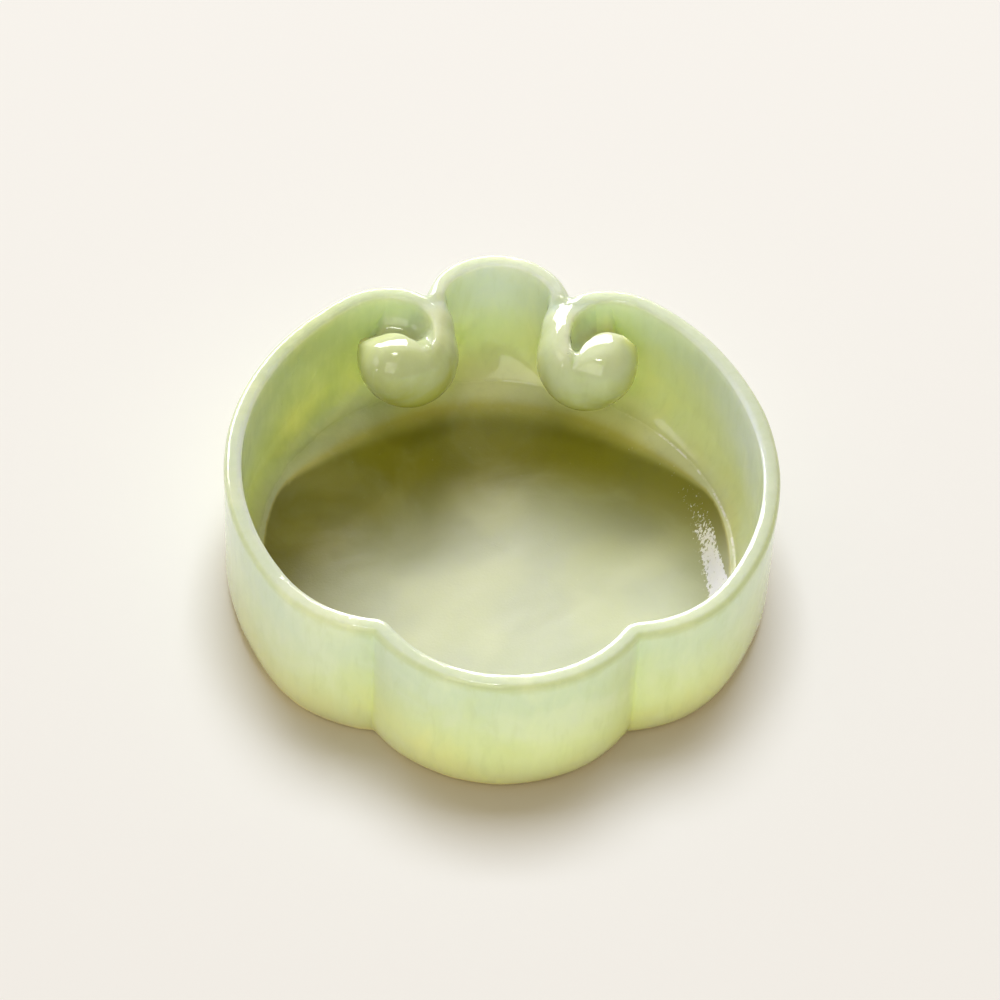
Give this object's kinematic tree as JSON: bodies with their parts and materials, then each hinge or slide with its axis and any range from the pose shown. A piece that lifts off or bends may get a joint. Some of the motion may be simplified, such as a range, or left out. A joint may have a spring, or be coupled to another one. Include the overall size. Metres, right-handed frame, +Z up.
{
  "type": "ruyi-form brush washer",
  "caption": "Shallow carved jade brush washer in ruyi cloud form, with a lobed wall that curls into two round scrolls inside the back notches.",
  "frame": {"origin": "middle of the object's box on the flat underside", "axes": "+Z up, the shortest extent; +Y towards the small back lobe between the two scrolls; +X across the washer"},
  "size_m": [0.1118, 0.1209, 0.0314],
  "materials": {
    "pale_green_jade": "polished"
  },
  "bodies": {
    "root": {"brush_washer": "pale_green_jade"}
  },
  "joints": []
}
